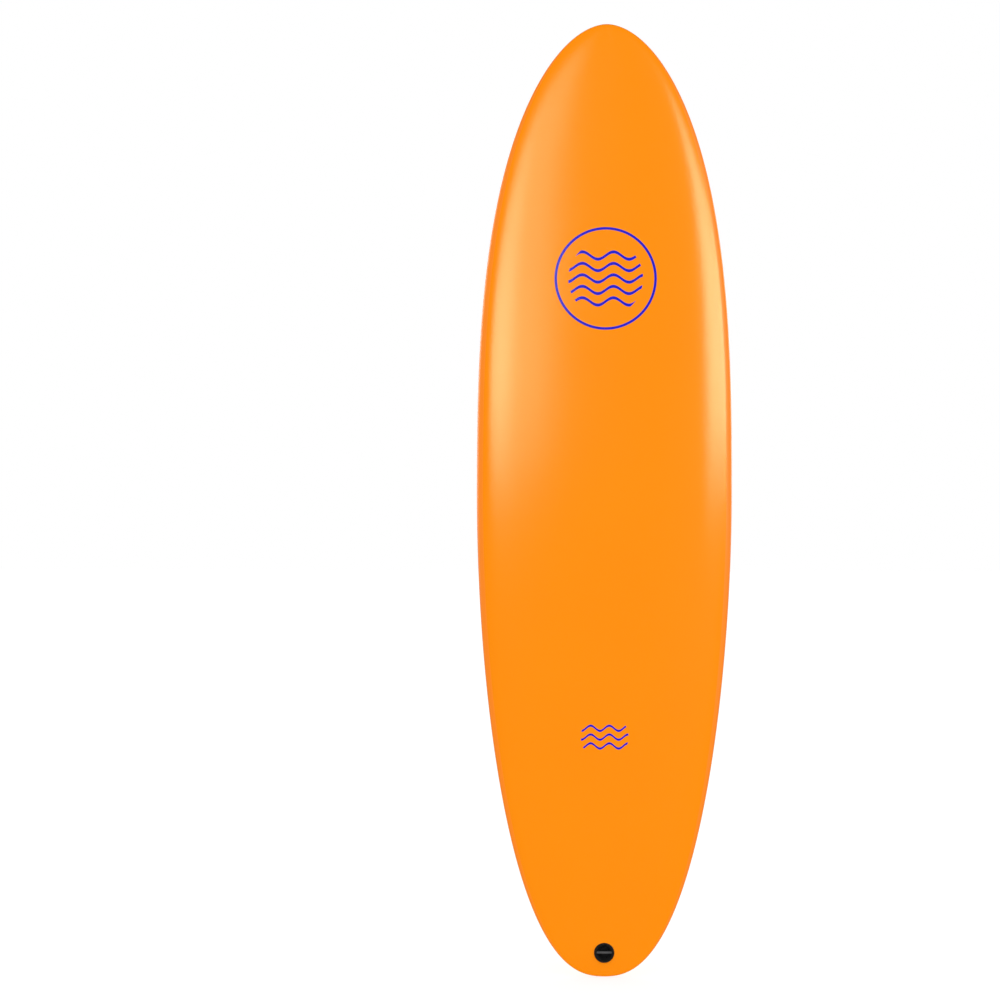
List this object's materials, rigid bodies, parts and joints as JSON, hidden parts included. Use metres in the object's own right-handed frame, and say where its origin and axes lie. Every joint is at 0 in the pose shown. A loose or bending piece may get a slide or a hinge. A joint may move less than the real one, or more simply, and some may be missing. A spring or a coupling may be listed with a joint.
{
  "type": "surfboard",
  "caption": "Short round-tailed soft-top surfboard: foam deck wrapped over a foam core, slick plastic bottom, slotted fin boxes with clamping grub screws, and a leash plug through the tail.",
  "frame": {"origin": "on the slick bottom, on the centreline at mid-length, where a rack holds the board", "axes": "+Z from tail to nose, +Y out of the slick bottom, so the deck faces -Y, and +X across"},
  "size_m": [0.4952, 0.1252, 1.8289],
  "materials": {
    "deck_foam": "soft embossed closed-cell foam, bright orange",
    "slick": "smooth plastic sheet, lime yellow",
    "backing_foam": "closed-cell foam sheet",
    "core_foam": "expanded polystyrene",
    "plywood": "thin plywood",
    "black_moulding": "black moulded plastic",
    "black_bolt": "black moulded nylon",
    "grub_steel": "stainless steel",
    "bar_steel": "dull dark steel",
    "leash_plastic": "black moulded plastic"
  },
  "bodies": {
    "board": {"deck_skin": "deck_foam", "slick_sheet": "slick", "slick_backing": "backing_foam", "core_left": "core_foam", "core_centre": "core_foam", "core_right": "core_foam", "stringer_left": "plywood", "stringer_right": "plywood", "leash_cup": "leash_plastic", "leash_bar": "bar_steel", "leash_cap": "leash_plastic", "fin_box_left": "black_moulding", "fin_bolts_left": "black_bolt", "fin_anchor_left": "black_moulding", "fin_box_right": "black_moulding", "fin_bolts_right": "black_bolt", "fin_anchor_right": "black_moulding", "fin_box_centre": "black_moulding", "fin_bolts_centre": "black_bolt", "fin_anchor_centre": "black_moulding"},
    "grub_left_front": {"grub_left_front": "grub_steel"},
    "grub_left_rear": {"grub_left_rear": "grub_steel"},
    "grub_right_front": {"grub_right_front": "grub_steel"},
    "grub_right_rear": {"grub_right_rear": "grub_steel"},
    "grub_centre_front": {"grub_centre_front": "grub_steel"},
    "grub_centre_rear": {"grub_centre_rear": "grub_steel"}
  },
  "joints": [
    {"name": "grub_left_front_turn", "type": "hinge", "parent": "board", "child": "grub_left_front", "pos_m": [0.12934, -0.01468, -0.5745], "axis": [0.2588, -0.9642, 0.0584], "range_deg": [0, 930]},
    {"name": "grub_left_rear_turn", "type": "hinge", "parent": "board", "child": "grub_left_rear", "pos_m": [0.14048, -0.01782, -0.6226], "axis": [-0.2588, -0.9636, 0.0674], "range_deg": [0, 930]},
    {"name": "grub_right_front_turn", "type": "hinge", "parent": "board", "child": "grub_right_front", "pos_m": [-0.14132, -0.01469, -0.57471], "axis": [0.2588, -0.9636, 0.0674], "range_deg": [0, 930]},
    {"name": "grub_right_rear_turn", "type": "hinge", "parent": "board", "child": "grub_right_rear", "pos_m": [-0.1285, -0.0178, -0.62239], "axis": [-0.2588, -0.9642, 0.0584], "range_deg": [0, 930]},
    {"name": "grub_centre_front_turn", "type": "hinge", "parent": "board", "child": "grub_centre_front", "pos_m": [-0.00599, -0.02763, -0.74866], "axis": [0.2588, -0.962, 0.0874], "range_deg": [0, 930]},
    {"name": "grub_centre_rear_turn", "type": "hinge", "parent": "board", "child": "grub_centre_rear", "pos_m": [0.00599, -0.03197, -0.79647], "axis": [-0.2588, -0.962, 0.0874], "range_deg": [0, 930]}
  ]
}
